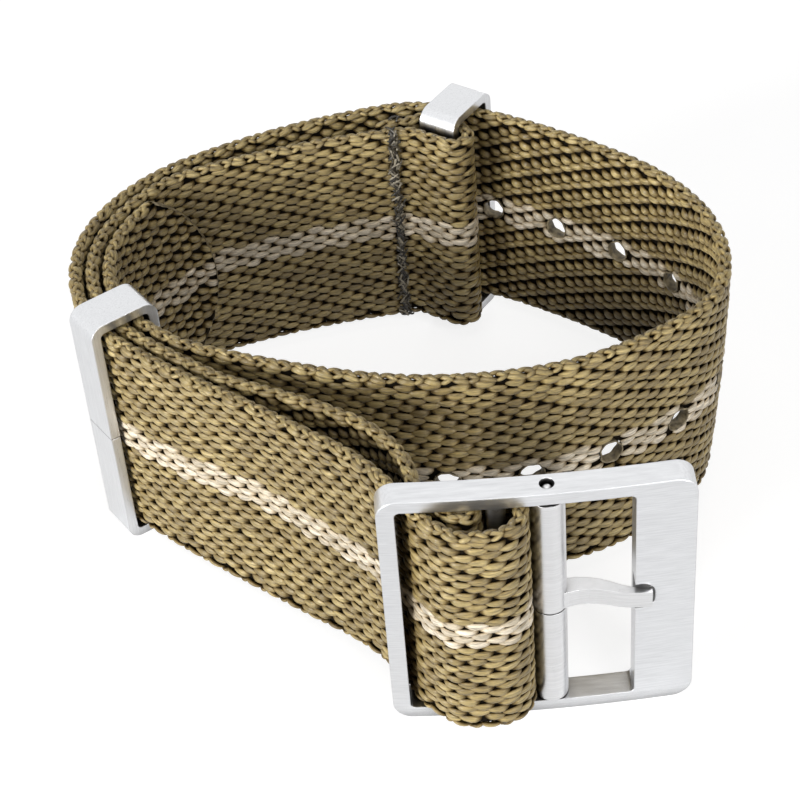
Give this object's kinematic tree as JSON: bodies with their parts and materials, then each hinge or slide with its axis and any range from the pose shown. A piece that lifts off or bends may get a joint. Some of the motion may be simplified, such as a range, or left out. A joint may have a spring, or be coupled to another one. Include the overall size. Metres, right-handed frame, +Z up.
{
  "type": "watch strap",
  "caption": "Woven nylon pass-through watch strap with a rectangular steel pin buckle, punched holes and two steel strap keepers, buckled into a loop.",
  "frame": {"origin": "middle of the footprint, on the flat surface that the strap stands on", "axes": "+X along the buckle from its bight bar to its end plate, +Y from the buckle to the far side of the loop, +Z up along the webbing's width"},
  "size_m": [0.0522, 0.0546, 0.0224],
  "materials": {
    "webbing": "coarse plain weave, olive-khaki with a cream centre stripe",
    "thread": "dark sewing thread",
    "steel": "satin stainless steel",
    "spring_steel": "bare spring wire"
  },
  "bodies": {
    "strap": {"strap_tail": "webbing", "strap_outer": "webbing", "strap_buckle_loop": "webbing", "strap_inner": "webbing", "keeper_fold": "webbing", "keeper_stitching": "thread"},
    "front_keeper_body": {"front_keeper": "steel"},
    "back_keeper_body": {"back_keeper": "steel"},
    "buckle": {"buckle_frame": "steel"},
    "tongue_body": {"tongue": "steel"},
    "sleeve_body": {"spacer_sleeve": "steel"},
    "spring_bar": {"spring_bar_tube": "steel", "spring_bar_spring": "spring_steel"},
    "spring_bar_top": {"spring_bar_tip_top": "steel"},
    "spring_bar_bottom": {"spring_bar_tip_bottom": "steel"}
  },
  "joints": [
    {"name": "buckle_tilt", "type": "hinge", "parent": "strap", "child": "buckle", "pos_m": [0.00535, -0.02378, 0.0112], "axis": [0, 0, 1], "range_deg": [0, 12]},
    {"name": "tongue_swing", "type": "hinge", "parent": "buckle", "child": "tongue_body", "pos_m": [0.00898, -0.02368, 0.0112], "axis": [0, 0, 1], "range_deg": [-90, 9]},
    {"name": "sleeve_spin", "type": "hinge", "parent": "buckle", "child": "sleeve_body", "pos_m": [0.00898, -0.02368, 0.0058], "axis": [0, 0, 1], "continuous": true},
    {"name": "spring_bar_spin", "type": "hinge", "parent": "buckle", "child": "spring_bar", "pos_m": [0.00898, -0.02368, 0.0112], "axis": [0, 0, 1], "continuous": true},
    {"name": "top_tip_push", "type": "slide", "parent": "spring_bar", "child": "spring_bar_top", "axis": [0, 0, 1], "range_m": [-0.0011, 0], "stiffness_N_per_m": 400, "springref_m": 0.001, "deforming": ["spring_bar_spring"]},
    {"name": "bottom_tip_push", "type": "slide", "parent": "spring_bar", "child": "spring_bar_bottom", "axis": [0, 0, 1], "range_m": [0, 0.0011], "stiffness_N_per_m": 400, "springref_m": -0.001, "deforming": ["spring_bar_spring"]},
    {"name": "front_keeper_slide", "type": "hinge", "parent": "strap", "child": "front_keeper_body", "pos_m": [-0.01149, 0.0069, 0.0112], "axis": [0, 0, -1], "range_deg": [-12, 54]},
    {"name": "back_keeper_tilt", "type": "hinge", "parent": "strap", "child": "back_keeper_body", "pos_m": [0.00461, 0.02191, 0.0112], "axis": [0, 0, 1], "range_deg": [-3, 5]}
  ]
}
